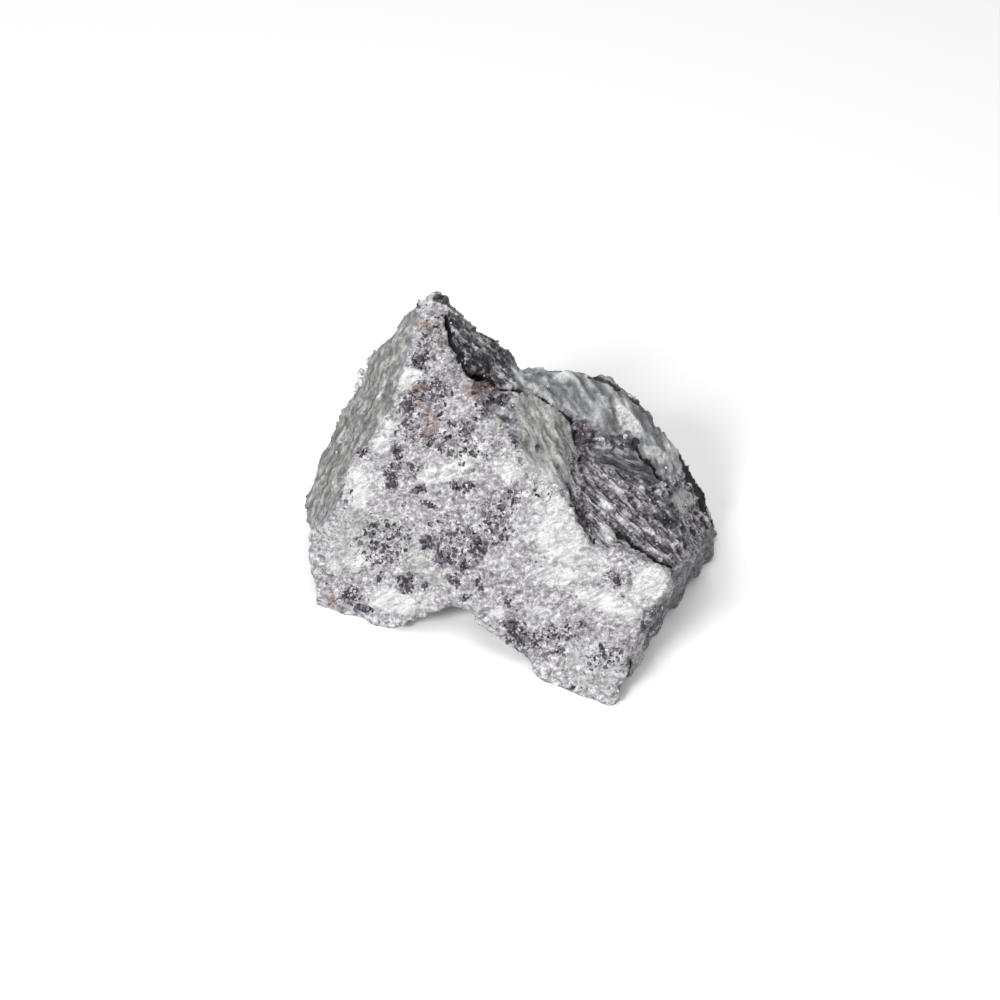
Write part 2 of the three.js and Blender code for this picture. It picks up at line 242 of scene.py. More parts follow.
MICA_SPOTS: tuple[Spot, ...] = (
    Spot(419, 361, 8, 11), Spot(427, 368, 4, 4), Spot(408, 408, 9, 12), Spot(466, 431, 8, 9),
    Spot(453, 425, 6, 5), Spot(363, 453, 5, 7), Spot(397, 453, 6, 8), Spot(452, 453, 6, 4),
    Spot(461, 465, 3, 3), Spot(390, 482, 10, 11), Spot(384, 471, 6, 5), Spot(419, 491, 10, 5),
    Spot(454, 485, 6, 7), Spot(468, 486, 5, 5), Spot(429, 506, 11, 4, -25), Spot(430, 524, 3, 3),
    Spot(428, 542, 10, 9), Spot(442, 558, 7, 8), Spot(463, 565, 6, 10), Spot(480, 551, 8, 11),
    Spot(405, 584, 8, 12), Spot(381, 577, 3, 8), Spot(376, 546, 3, 4), Spot(397, 532, 3, 4),
    Spot(425, 584, 3, 5), Spot(452, 579, 6, 6), Spot(481, 585, 4, 9), Spot(464, 597, 8, 5),
    Spot(351, 594, 10, 10), Spot(363, 609, 10, 6), Spot(509, 626, 9, 8), Spot(507, 600, 7, 10, 0, 0.8),
    Spot(603, 657, 5, 7), Spot(622, 652, 5, 4), Spot(583, 625, 7, 4), Spot(573, 689, 12, 5),
    Spot(547, 655, 9, 3), Spot(560, 650, 4, 4), Spot(513, 440, 5, 8), Spot(537, 446, 2.5, 2.5),
    Spot(557, 450, 2.5, 2.5), Spot(557, 469, 3, 4, 0, 0.8), Spot(573, 464, 6, 14, 0, 0.7),
    Spot(581, 512, 6, 36, 28), Spot(498, 400, 14, 8), Spot(615, 578, 16, 9, -20, 0.7),
    Spot(496, 525, 22, 32, 0, 0.6), Spot(522, 640, 24, 18, 0, 0.65), Spot(560, 636, 32, 18, 0, 0.5),
    Spot(606, 658, 34, 22, 0, 0.5), Spot(455, 545, 32, 38, 0, 0.55), Spot(402, 470, 26, 15, 0, 0.55),
    Spot(440, 442, 32, 15, 0, 0.58), Spot(508, 498, 22, 20, 0, 0.55), Spot(540, 492, 20, 10, -20, 0.5),
    Spot(652, 622, 14, 20, 0, 0.5), Spot(585, 440, 14, 20, 0, 0.6), Spot(600, 486, 24, 14, -40, 0.35),
    Spot(432, 390, 26, 24, 0, 0.62), Spot(480, 410, 12, 20, -30, 0.5), Spot(385, 540, 40, 40, 0, 0.55),
    Spot(432, 345, 18, 42, 0, 0.5), Spot(436, 318, 10, 14, 0, 0.45), Spot(470, 450, 30, 20, 0, 0.48),
    Spot(410, 430, 20, 22, 0, 0.52), Spot(345, 500, 12, 40, 0, 0.4),
)

# Each crack cuts a groove and lays painted shade along it.
CRACKS: tuple[Crack, ...] = (
    Crack(((447, 318), (449, 338), (456, 348), (464, 363), (475, 377), (494, 384)), 3.6, 1.8),
    Crack(((494, 384), (520, 391), (547, 401), (562, 410), (573, 422), (578, 438), (585, 460)), 1.5, 1.1),
    Crack(((618, 531), (627, 535), (636, 544), (644, 549), (655, 559), (672, 567)), 1.8, 1.0),
    Crack(((632, 442), (648, 463), (660, 475), (672, 495)), 2.0, 1.0),
    Crack(((566, 484), (580, 513), (597, 549)), 2.6, 0.6, 0.5),
    Crack(((405, 392), (416, 400), (424, 403), (440, 415)), 1.3, 0.6, 0.55),
    Crack(((592, 374), (629, 394), (650, 412)), 2.6, 0.2, 0.7),
    # Not a crack: painted shade of the narrow right face, which turns from the light, with a shallow groove.
    Crack(((684, 458), (693, 480), (706, 505), (715, 524)), 4.6, 0.3),
    Crack(((600, 468), (616, 480), (632, 500), (640, 516)), 1.2, 0.5, 0.6),
    Crack(((610, 500), (632, 518), (656, 545)), 1.2, 0.5, 0.6),
    Crack(((655, 490), (664, 512), (676, 536)), 1.4, 0.6, 0.7),
)

# The sides that the photograph doesn't show have the same minerals in patches.
HIDDEN: dict[Mineral, Patch] = {
    Mineral.FLANK: Patch(-0.25, 0.15),
    Mineral.BLOCK: Patch(0.1, 0.4),
    Mineral.ALBITE: Patch(0.25, 0.5, 0.8),
    Mineral.QUARTZ: Patch(0.25, 0.5, 0.9),
    Mineral.RUST: Patch(0.6, 0.8, 0.55),
}
CLUSTERS = Patch(0.1, 0.45, 0.58)
DUST = Patch(-0.1, 0.4, 0.3)
BARE = (Mineral.FLANK, Mineral.SLAB, Mineral.BLOCK, Mineral.SHEET, Mineral.SIDE, Mineral.ALBITE)

# How much smoother than broken grains each of these breaks.
CALM: dict[Mineral, float] = {
    Mineral.SLAB: 0.6, Mineral.SHEET: 0.7, Mineral.SHOULDER: 0.6, Mineral.SIDE: 0.6, Mineral.FLANK: 0.5,
    Mineral.BLOCK: 0.6, Mineral.ALBITE: 0.35,
}
GLASSY = (Mineral.SHOULDER, Mineral.CHUTE, Mineral.NOOK, Mineral.PEAK)

SPARKLES: tuple[Pixel, ...] = (
    (603, 439), (666, 468), (548, 388), (524, 385), (659, 559), (624, 436), (614, 653), (335, 585),
    (390, 362), (385, 375), (341, 443), (338, 452),
)
CRYSTAL_NEST: Pixel = (359, 382)


def linear(colour: str) -> tuple[float, float, float, float]:
    """Turn an sRGB hex colour to linear light.

    Args:
        colour: the colour as #RRGGBB.

    Returns:
        Red, green, blue and a full alpha.
    """
    parts = [int(colour[i:i + 2], 16) / 255 for i in (1, 3, 5)]
    light = [c / 12.92 if c <= 0.04045 else ((c + 0.055) / 1.055) ** 2.4 for c in parts]
    return (*light, 1.0)


def add_node(
    tree: bpy.types.NodeTree,
    kind: str,
    inputs: dict[Any, Any] | None = None,
    stops: tuple[tuple[float, str], ...] = (),
    **settings: Any,
) -> bpy.types.Node:
    """Add one node with its settings and links.

    Args:
        tree: the node tree that takes the node.
        kind: the node's type name.
        inputs: a value or an output socket for each input, by name or number.
        stops: places and colours of a colour ramp.
        settings: the node's own properties.

    Returns:
        The new node.
    """
    node = tree.nodes.new(kind)
    for name, value in settings.items():
        setattr(node, name, value)
    for place, colour in stops:
        ramp = node.color_ramp.elements
        element = ramp[0] if place == stops[0][0] else ramp.new(place)
        element.position = place
        element.color = linear(colour)
    for key, value in (inputs or {}).items():
        if isinstance(value, bpy.types.NodeSocket):
            tree.links.new(value, node.inputs[key])
        else:
            node.inputs[key].default_value = value
    return node


def smoothstep(low: float, high: float, values: np.ndarray) -> np.ndarray:
    """Ease values from 0 at low to 1 at high.

    Args:
        low: where the result is 0.
        high: where the result is 1.
        values: the values to ease.

    Returns:
        An eased value for each one.
    """
    share = np.clip((values - low) / (high - low), 0.0, 1.0)
    return share * share * (3.0 - 2.0 * share)


def noise_at(points: np.ndarray, size: float, seed: int, octaves: int = 1) -> np.ndarray:
    """Give smooth noise, about -1 to 1, at each point.

    Args:
        points: places in millimetres.
        size: width of its lumps in millimetres.
        seed: which noise it is.
        octaves: how many times it is added at half the size.

    Returns:
        One value for each point.
    """
    places = points / size + seed * SEED_STEP
    return np.array([noise.fractal(Vector(p), 1.0, 2.0, octaves) for p in places])


def facets_at(points: np.ndarray, size: float, seed: int) -> np.ndarray:
    """Give the heights of small flat facets, each tilted its own way, as broken grains have.

    Args:
        points: places in millimetres.
        size: width of a grain in millimetres.
        seed: which set of grains it is.

    Returns:
        One height for each point, about -0.5 to 0.5 grain widths.
    """
    places = points / size + seed * SEED_STEP
    nearest = np.array([noise.voronoi(Vector(p))[1][0] for p in places])
    tilt = 2.0 * np.modf(np.abs(np.sin(nearest @ HASH_TURNS) * HASH_GAIN))[0] - 1.0
    return np.einsum("ij,ij->i", places - nearest, tilt)


def distance_to_path(pixels: np.ndarray, path: tuple[Pixel, ...]) -> np.ndarray:
    """Measure how far pixels lie from a path.

    Args:
        pixels: the pixels.
        path: the path's corners.

    Returns:
        The distance of each pixel.
    """
    nearest = np.full(len(pixels), np.inf)
    for start, end in zip(path, path[1:]):
        along = np.subtract(end, start)
        from_start = pixels - start
        share = np.clip(from_start @ along / (along @ along), 0.0, 1.0)
        nearest = np.minimum(nearest, np.linalg.norm(from_start - share[:, None] * along, axis=1))
    return nearest


def depth_inside(pixels: np.ndarray, corners: tuple[Pixel, ...]) -> np.ndarray:
    """Measure how far pixels lie inside an outline.

    Args:
        pixels: the pixels.
        corners: the outline's corners.

    Returns:
        The distance of each pixel to the outline, below 0 outside it.
    """
    x, y = pixels.T
    within = np.zeros(len(pixels), bool)
    for (x0, y0), (x1, y1) in zip(corners, corners[1:] + corners[:1]):
        if y0 != y1:
            within ^= ((y0 > y) != (y1 > y)) & (x < x0 + (y - y0) * (x1 - x0) / (y1 - y0))
    distance = distance_to_path(pixels, corners + corners[:1])
    return np.where(within, distance, -distance)


@dataclass(frozen=True)
class PhotoView:
    """The photograph's camera, which also says where on the rock a pixel is."""

    aim: tuple[float, float, float] = (-2.26, -6.94, 24.0)
    elevation_deg: float = 40.0
    distance: float = 330.0
    lens: float = 70.0
    sensor: float = 36.0
    image_px: float = 1000.0

    @property
    def axes(self) -> np.ndarray:
        """The camera's right, up and backward directions, as rows."""
        lift = math.radians(self.elevation_deg)
        rise, run = math.sin(lift), math.cos(lift)
        return np.array([[1.0, 0.0, 0.0], [0.0, rise, run], [0.0, -run, rise]])

    @property
    def place(self) -> np.ndarray:
        """The camera's place in millimetres."""
        return np.array(self.aim) + self.distance * self.axes[2]

    @property
    def focus_px(self) -> float:
        """The lens's focal length in pixels."""
        return self.lens / self.sensor * self.image_px

    def pixels(self, points: np.ndarray) -> np.ndarray:
        """Project points to the photograph.

        Args:
            points: places in millimetres.

        Returns:
            The pixel of each point.
        """
        right, up, back = ((points - self.place) @ self.axes.T).T
        half = self.image_px / 2
        return np.stack([half - self.focus_px * right / back, half + self.focus_px * up / back], axis=1)

    def make_camera(self) -> None:
        """Put the camera in the scene."""
        data = bpy.data.cameras.new("photo_camera")
        data.lens, data.sensor_width = self.lens, self.sensor
        camera = bpy.data.objects.new("photo_camera", data)
        camera.location = Vector(self.place * MM)
        camera.rotation_euler = (math.radians(90.0 - self.elevation_deg), 0.0, 0.0)
        bpy.context.scene.collection.objects.link(camera)
        bpy.context.scene.camera = camera


@dataclass(frozen=True)
class RockFinish:
    """Broken albite rock with lepidolite: chalky white grains, glassy grey quartz and glinting purple flakes,
    with painted shade in its cracks and hollows and painted highlight on its ridges.

    Sizes and heights are in millimetres, those of the real grains and flakes.
    """

    ior: float = 1.54
    warp_size: float = 2.0
    warp_reach: float = 0.9
    grain_detail: float = 5.0
    fine_detail: float = 3.0
    grain_roughness: float = 0.66
    edge_size: float = 1.3
    edge_roughness: float = 0.7
    edge_reach: float = 1.1
    edge_low: float = 0.9
    edge_high: float = 1.25
    # How much paler the colour turns on a fold's ridge: painted highlight.
    fold_reach: float = 0.32
    flake_sizes: tuple[float, ...] = (0.38, 0.95)
    speckle_ratio: float = 1.8
    flake_roughness: float = 0.3
    flake_ragged: float = 0.6
    flake_rare: float = 0.7
    flake_reach: float = 0.24
    flake_edge: float = 0.05
    flake_stops: tuple[tuple[float, str], ...] = (
        (0.42, "#1A141B"), (0.52, "#382D38"), (0.6, "#635462"), (0.68, "#988A97"), (0.76, "#CFC4CE"),
    )
    ramp_places: tuple[float, ...] = (0.36, 0.5, 0.64)
    vein_places: tuple[float, ...] = (0.34, 0.45, 0.5, 0.55, 0.66)
    grit_size: float = 0.24
    grit_span: tuple[float, float] = (0.3, 0.7)
    grit_tint: tuple[float, float] = (0.72, 1.2)
    crystal_size: float = 0.8
    crystal_span: tuple[float, float] = (0.0, 1.0)
    crystal_tint: tuple[float, float] = (0.68, 1.22)
    crystal_height: float = 0.4
    grain_height: float = 0.14
    grit_height: float = 0.08

    def build(self, runs: dict[Mineral, Vector]) -> bpy.types.Material:
        """Make the material.

        Args:
            runs: the direction of each mineral's grain.

        Returns:
            The material.
        """
        material = bpy.data.materials.new("albite_lepidolite_rock_broken")
        material.use_nodes = True
        tree = material.node_tree
        tree.nodes.clear()
        object_place = add_node(tree, "ShaderNodeTexCoord").outputs["Object"]
        per_mm = (1.0 / MM,) * 3
        place = add_node(
            tree, "ShaderNodeVectorMath", {0: object_place, 1: per_mm}, operation="MULTIPLY"
        ).outputs[0]
        drift = add_node(
            tree, "ShaderNodeTexNoise",
            {"Vector": place, "Scale": 1.0 / self.warp_size, "Detail": self.fine_detail},
        )
        warped = add_node(
            tree, "ShaderNodeVectorMath", {0: drift.outputs["Color"], 1: (self.warp_reach,) * 3, 2: place},
            operation="MULTIPLY_ADD",
        ).outputs[0]

        edge = add_node(
            tree, "ShaderNodeTexNoise",
            {
                "Vector": warped, "Scale": 1.0 / self.edge_size, "Detail": self.grain_detail,
                "Roughness": self.edge_roughness,
            },
        ).outputs[0]
        fold = add_node(tree, "ShaderNodeAttribute", attribute_name="fold").outputs["Fac"]
        crisp = add_node(tree, "ShaderNodeAttribute", attribute_name="crisp").outputs["Fac"]
        grit = add_node(
            tree, "ShaderNodeTexNoise",
            {"Vector": place, "Scale": 1.0 / self.grit_size, "Detail": self.fine_detail},
        ).outputs[0]
        crystals = add_node(
            tree, "ShaderNodeTexVoronoi", {"Vector": warped, "Scale": 1.0 / self.crystal_size}
        )
        crystal = crystals.outputs["Color"]
        colour, roughness, height = None, None, None
        for mineral in Mineral:
            look = mineral.value
            length, width = look.grain
            turned = add_node(
                tree, "ShaderNodeMapping",
                {
                    "Vector": warped,
                    "Rotation": Vector((1.0, 0.0, 0.0)).rotation_difference(runs[mineral]).to_euler(),
                    "Scale": (length, width, width),
                },
                vector_type="TEXTURE",
            ).outputs[0]
            grain = add_node(
                tree, "ShaderNodeTexNoise",
                {
                    "Vector": turned, "Scale": 1.0, "Detail": self.grain_detail,
                    "Roughness": self.grain_roughness,
                },
            ).outputs[0]
            # Painted highlight: where the fold raises a ridge, its colour turns paler.
            if not look.veined:
                grain = add_node(
                    tree, "ShaderNodeMath", {0: fold, 1: self.fold_reach, 2: grain}, operation="MULTIPLY_ADD"
                ).outputs[0]
            places, shades = self.ramp_places, (look.deep, look.middle, look.pale)
            if look.veined:
                places, shades = self.vein_places, (look.pale, look.middle, look.deep, look.middle, look.pale)
            tint = add_node(
                tree, "ShaderNodeValToRGB", {0: grain}, stops=tuple(zip(places, shades))
            ).outputs[0]
            if mineral is Mineral.GROUND:
                colour, roughness, height = tint, look.roughness, grain
                continue
            share = add_node(tree, "ShaderNodeAttribute", attribute_name=mineral.share_name).outputs["Fac"]
            ragged = add_node(
                tree, "ShaderNodeMath", {0: edge, 1: self.edge_reach, 2: share}, operation="MULTIPLY_ADD"
            ).outputs[0]
            cover = add_node(
                tree, "ShaderNodeMapRange",
                {
                    "Value": ragged, "From Min": self.edge_low, "From Max": self.edge_high,
                    "To Max": look.cover,
                },
                interpolation_type="SMOOTHSTEP",
            ).outputs[0]
            # The painted shade of the cracks goes last, over the flakes and the grain's tints.
            if mineral is Mineral.GAP:
                colour, roughness = self.add_flakes(tree, warped, colour, roughness)
                for value, span, tints in (
                    (grit, self.grit_span, self.grit_tint), (crystal, self.crystal_span, self.crystal_tint),
                ):
                    shade = add_node(
                        tree, "ShaderNodeMapRange",
                        {"Value": value, 1: span[0], 2: span[1], 3: tints[0], 4: tints[1]},
                    ).outputs[0]
                    shade = add_node(tree, "ShaderNodeMix", {0: crisp, 2: 1.0, 3: shade}).outputs[0]
                    colour = add_node(
                        tree, "ShaderNodeVectorMath", {0: colour, 3: shade}, operation="SCALE"
                    ).outputs[0]
            colour = add_node(
                tree, "ShaderNodeMix", {0: cover, 6: colour, 7: tint}, data_type="RGBA"
            ).outputs[2]
            roughness = add_node(
                tree, "ShaderNodeMix", {0: cover, 2: roughness, 3: look.roughness}
            ).outputs[0]
            height = add_node(tree, "ShaderNodeMix", {0: cover, 2: height, 3: grain}).outputs[0]

        from_middle = add_node(
            tree, "ShaderNodeVectorMath", {0: warped, 1: crystals.outputs["Position"]}, operation="SUBTRACT"
        ).outputs[0]
        tilt = add_node(
            tree, "ShaderNodeVectorMath", {0: crystal, 1: (2.0,) * 3, 2: (-1.0,) * 3},
            operation="MULTIPLY_ADD",
        ).outputs[0]
        relief = add_node(
            tree, "ShaderNodeVectorMath", {0: from_middle, 1: tilt}, operation="DOT_PRODUCT"
        ).outputs["Value"]
        for part in (self.crystal_height, crisp):
            relief = add_node(tree, "ShaderNodeMath", {0: relief, 1: part}, operation="MULTIPLY").outputs[0]
        for part, reach in ((height, self.grain_height), (grit, self.grit_height)):
            relief = add_node(
                tree, "ShaderNodeMath", {0: part, 1: reach, 2: relief}, operation="MULTIPLY_ADD"
            ).outputs[0]
        bump = add_node(tree, "ShaderNodeBump", {"Distance": MM, "Height": relief}).outputs[0]
        shader = add_node(
            tree, "ShaderNodeBsdfPrincipled",
            {"Base Color": colour, "Roughness": roughness, "Normal": bump, "IOR": self.ior},
        )
        add_node(tree, "ShaderNodeOutputMaterial", {"Surface": shader.outputs[0]})
        return material

    def add_flakes(
        self, tree: bpy.types.NodeTree, place: Any, colour: Any, roughness: Any
    ) -> tuple[bpy.types.NodeSocket, bpy.types.NodeSocket]:
        """Lay mica flakes over a colour, where the mica attribute says.

        Args:
            tree: the material's nodes.
            place: socket with the place in millimetres.
            colour: socket with the colour so far.
            roughness: socket or number with the roughness so far.

        Returns:
            The sockets of the new colour and roughness.
        """
        share = add_node(tree, "ShaderNodeAttribute", attribute_name="mica").outputs["Fac"]
        scarce = add_node(
            tree, "ShaderNodeMath", {0: share, 1: -self.flake_reach, 2: self.flake_rare},
            operation="MULTIPLY_ADD",
        ).outputs[0]
        for size in self.flake_sizes:
            speckle = add_node(
                tree, "ShaderNodeTexNoise",
                {
                    "Vector": place, "Scale": self.speckle_ratio / size, "Detail": self.fine_detail,
                    "Roughness": self.flake_ragged,
                },
            ).outputs[0]
            ragged = add_node(
                tree, "ShaderNodeTexNoise",
                {
                    "Vector": place, "Scale": 1.0 / size, "Detail": self.fine_detail,
                    "Roughness": self.flake_ragged, "Distortion": self.flake_ragged,
                },
            ).outputs[0]
            luck = add_node(tree, "ShaderNodeMath", {0: ragged, 1: scarce}, operation="SUBTRACT").outputs[0]
            cover = add_node(
                tree, "ShaderNodeMapRange", {"Value": luck, "From Min": 0.0, "From Max": self.flake_edge}
            ).outputs[0]
            tint = add_node(tree, "ShaderNodeValToRGB", {0: speckle}, stops=self.flake_stops).outputs[0]
            colour = add_node(
                tree, "ShaderNodeMix", {0: cover, 6: colour, 7: tint}, data_type="RGBA"
            ).outputs[2]
            roughness = add_node(
                tree, "ShaderNodeMix", {0: cover, 2: roughness, 3: self.flake_roughness}
            ).outputs[0]
        return colour, roughness


@dataclass
class RockBody:
    """The lump itself: the solid's shape with its grain, ledges, cracks and minerals, and painted shade in
    its cracks and hollows.
    """

    view: PhotoView
    finish: RockFinish
    weld: float = 0.001
    voxel: float = 0.4
    soften_passes: int = 3
    sight_clear: float = 0.4
    seen_passes: int = 12
    seen_edge: tuple[float, float] = (0.2, 0.8)
    plainly_seen: float = 0.4
    edge_px: float = 6.0
    wander_px: float = 4.0
    wander_size: float = 3.0
    spot_edge: tuple[float, float] = (1.5, 0.3)
    patch_sizes: tuple[float, ...] = (14.0, 9.0, 6.0, 11.0, 2.4)
    dust_least: float = 0.1
    crack_edge: tuple[float, float] = (1.4, 0.5)
    crack_vary: float = 1.3
    crack_least: float = 0.2
    octaves: int = 3
    grain_octaves: int = 4
    grain_scale: float = 1.4
    full_relief: float = 0.5
    break_size: float = 4.2
    break_height: float = 0.8
    grain_size: float = 1.7
    grain_height: float = 0.5
    fine_size: float = 0.8
    fine_height: float = 0.28
    lump_size: float = 6.0
    lump_height: float = 0.35
    ledge_spacing: float = 1.7
    ledge_height: float = 0.7
    ledge_wander: float = 0.6
    ledge_wander_size: float = 5.0
    foot_fade: float = 1.4
    edges: np.ndarray = field(init=False, repr=False)
    points: np.ndarray = field(init=False, repr=False)
    normals: np.ndarray = field(init=False, repr=False)
    at_foot: np.ndarray = field(init=False, repr=False)
    seen: np.ndarray = field(init=False, repr=False)
    pixels: np.ndarray = field(init=False, repr=False)
    gaps: np.ndarray = field(init=False, repr=False)
    fold: np.ndarray = field(init=False, repr=False)
    crisp: np.ndarray = field(init=False, repr=False)
    shares: dict[str, np.ndarray] = field(init=False, repr=False)

    def even_mesh(self) -> bpy.types.Mesh:
        """Copy the solid's mesh and divide it evenly.

        Returns:
            A closed mesh of small even faces, in metres.
        """
        work = bmesh.new()
        work.from_mesh(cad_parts[NODE].data)
        bmesh.ops.remove_doubles(work, verts=work.verts, dist=self.weld * MM)
        mesh = bpy.data.meshes.new("rock_even")
        work.to_mesh(mesh)
        work.free()
        holder = bpy.data.objects.new("rock_even", mesh)
        bpy.context.scene.collection.objects.link(holder)
        remesh = holder.modifiers.new("even", "REMESH")
        remesh.mode = "VOXEL"
        remesh.voxel_size = self.voxel * MM
        depsgraph = bpy.context.evaluated_depsgraph_get()
        even = bpy.data.meshes.new_from_object(holder.evaluated_get(depsgraph))
        bpy.data.objects.remove(holder)
        return even

    def blurred(self, values: np.ndarray, passes: int) -> np.ndarray:
        """Spread values over the mesh.

        Args:
            values: one value or vector for each vertex.
            passes: how many edges far they spread.

        Returns:
            The spread values.
        """
        one, two = self.edges.T
        count = np.bincount(self.edges.ravel(), minlength=len(values))
        shape = (-1,) + (1,) * (values.ndim - 1)
        for _ in range(passes):
            total = np.zeros_like(values)
            np.add.at(total, one, values[two])
            np.add.at(total, two, values[one])
            values = 0.5 * values + 0.5 * total / count.reshape(shape)
        return values

    def read(self, mesh: bpy.types.Mesh) -> None:
        """Read the mesh into arrays, soften its facets and find what the camera sees.

        Args:
            mesh: the even mesh.
        """
        count = len(mesh.vertices)
        points = np.empty(count * 3)
        mesh.vertices.foreach_get("co", points)
        edges = np.empty(len(mesh.edges) * 2, int)
        mesh.edges.foreach_get("vertices", edges)
        self.edges = edges.reshape(-1, 2)
        points = points.reshape(-1, 3) / MM
        self.at_foot = points[:, 2] < self.voxel
        softened = self.blurred(points, self.soften_passes)
        softened[self.at_foot, 2] = 0.0
        self.points = softened
        mesh.vertices.foreach_set("co", (softened * MM).ravel())
        mesh.update()
        normals = np.empty(count * 3)
        mesh.vertex_normals.foreach_get("vector", normals)
        self.normals = normals.reshape(-1, 3)
        tree = BVHTree.FromPolygons(softened.tolist(), [list(p.vertices) for p in mesh.polygons])
        camera = Vector(self.view.place)
        starts = softened + self.normals * self.sight_clear
        facing = np.einsum("ij,ij->i", self.view.place - softened, self.normals) > 0.0
        clear = [
            looks and tree.ray_cast(Vector(p), camera - Vector(p))[0] is None
            for p, looks in zip(starts, facing)
        ]
        self.seen = smoothstep(*self.seen_edge, self.blurred(np.array(clear, float), self.seen_passes))
        wander = [
            noise_at(softened, self.wander_size, seed, self.octaves)
            for seed in (Seed.WANDER_ACROSS, Seed.WANDER_DOWN)
        ]
        self.pixels = self.view.pixels(softened) + self.wander_px * np.stack(wander, axis=1)

    def spot_on(self, pixel: Pixel) -> tuple[Vector, Vector]:
        """Find the place and normal on the rock that a pixel shows.

        Args:
            pixel: the pixel.

        Returns:
            The place in millimetres and the surface's normal there.
        """
        gaps = np.linalg.norm(self.view.pixels(self.points) - pixel, axis=1)
        nearest = np.argmin(np.where(self.seen > self.plainly_seen, gaps, np.inf))
        return Vector(self.points[nearest]), Vector(self.normals[nearest])

    def spots(self, spots: tuple[Spot, ...]) -> np.ndarray:
        """Paint a set of blotches.

        Args:
            spots: the blotches.

        Returns:
            The cover of each vertex, 0 to 1.
        """
        cover = np.zeros(len(self.points))
        for spot in spots:
            turn = math.radians(spot.rise_deg)
            x, y = (self.pixels - (spot.x, spot.y)).T
            along = (x * math.cos(turn) - y * math.sin(turn)) / spot.half_wide
            across = (x * math.sin(turn) + y * math.cos(turn)) / spot.half_high
            cover = np.maximum(cover, spot.weight * smoothstep(*self.spot_edge, np.hypot(along, across)))
        return cover

    def paint(self) -> dict[str, np.ndarray]:
        """Say how much of each mineral and of each painted shade each vertex has.

        Returns:
            The share of each mineral, 0 to 1, by its attribute name.
        """
        broad, middling, small, wide, ragged = (
            noise_at(self.points, size, seed, self.octaves)
            for seed, size in enumerate(self.patch_sizes, start=Seed.PATCH)
        )
        luck = {
            Mineral.FLANK: broad, Mineral.BLOCK: wide, Mineral.ALBITE: middling, Mineral.QUARTZ: -middling,
            Mineral.RUST: wide - middling,
        }
        nothing = np.zeros(len(self.points))
        shares = {}
        for mineral in list(Mineral)[1:]:
            seen = nothing
            for corners in (outline for owner, outline in ZONES if owner is mineral):
                inside = depth_inside(self.pixels, corners)
                seen = np.maximum(seen, smoothstep(-self.edge_px, self.edge_px, inside))
            if mineral in SPOTS:
                seen = np.maximum(seen, self.spots(SPOTS[mineral]))
            hidden = HIDDEN[mineral].share(luck[mineral]) if mineral in HIDDEN else nothing
            shares[mineral.share_name] = self.seen * seen + (1.0 - self.seen) * hidden
        self.gaps = nothing
        # Along each crack the rock is cut in as a groove and painted near black as shade.
        for crack in CRACKS:
            width = crack.half_wide * np.maximum(1.0 + self.crack_vary * ragged, self.crack_least)
            away = distance_to_path(self.pixels, crack.path) / width
            near = smoothstep(*self.crack_edge, away) * self.seen
            shares["gap"] = np.maximum(shares["gap"], crack.weight * near)
            self.gaps = np.maximum(self.gaps, crack.depth * near)
        shares["mica"] = self.seen * self.spots(MICA_SPOTS) + (1.0 - self.seen) * CLUSTERS.share(small)
        dust = self.dust_least + DUST.share(small)
        bare = np.max([shares[mineral.share_name] for mineral in BARE], axis=0)
        shares["mica"] = np.maximum(shares["mica"], dust * (1.0 - bare))
        return shares

    def relief(self, shares: dict[str, np.ndarray]) -> np.ndarray:
        """Say how far each vertex moves along its normal.

        Args:
            shares: the share of each mineral.

        Returns:
            The move of each vertex in millimetres.
        """
        left = np.ones(len(self.points))
        self.fold = np.zeros(len(self.points))
        height = self.lump_height * noise_at(self.points, self.lump_size, Seed.LUMP, self.octaves)
        for mineral in reversed(Mineral):
            share = left * shares.get(mineral.share_name, 1.0)
            left = left - share
            fold = share * self.grain_at(mineral)
            # The folds also go to the colour, as painted highlight on the ridges they raise.
            self.fold += fold * min(1.0, mineral.value.relief / self.full_relief)
            height += mineral.value.relief * fold
        calm = np.max([part * shares[mineral.share_name] for mineral, part in CALM.items()], axis=0)
        self.crisp = 1.0 - calm
        for size, reach, seed in (
            (self.break_size, self.break_height, Seed.BREAK),
            (self.grain_size, self.grain_height, Seed.GRAIN),
            (self.fine_size, self.fine_height, Seed.FINE),
        ):
            height += reach * self.crisp * facets_at(self.points, size, seed)
        across = self.run(Mineral.SHOULDER.value.run).cross(Vector(self.view.axes[2]))
        steps = self.points @ np.array(across) / self.ledge_spacing
        steps += self.ledge_wander * noise_at(self.points, self.ledge_wander_size, Seed.LEDGE, self.octaves)
        height += self.ledge_height * shares["shoulder"] * (np.mod(steps, 1.0) - 0.5)
        height -= self.gaps
        return height * smoothstep(0.0, self.foot_fade, self.points[:, 2])

    def grain_at(self, mineral: Mineral) -> np.ndarray:
        """Give a mineral's grain as stretched noise.

        Args:
            mineral: the mineral.

        Returns:
            The noise at each vertex, about -1 to 1.
        """
        length, width = mineral.value.grain
        along = self.run(mineral.value.run)
        aside = along.orthogonal().normalized()
        turned = self.points @ np.array([along, aside, along.cross(aside)]).T
        return noise_at(turned / (length, width, width), self.grain_scale, Seed.RUN, self.grain_octaves)

    def run(self, ends: tuple[Pixel, Pixel] | None) -> Vector:
        """Give the direction on the rock between two pixels, or across the front where there are none.

        Args:
            ends: the two pixels.

        Returns:
            The direction, one long.
        """
        if ends is None:
            return Vector((1.0, 0.0, 0.0))
        return (self.spot_on(ends[1])[0] - self.spot_on(ends[0])[0]).normalized()

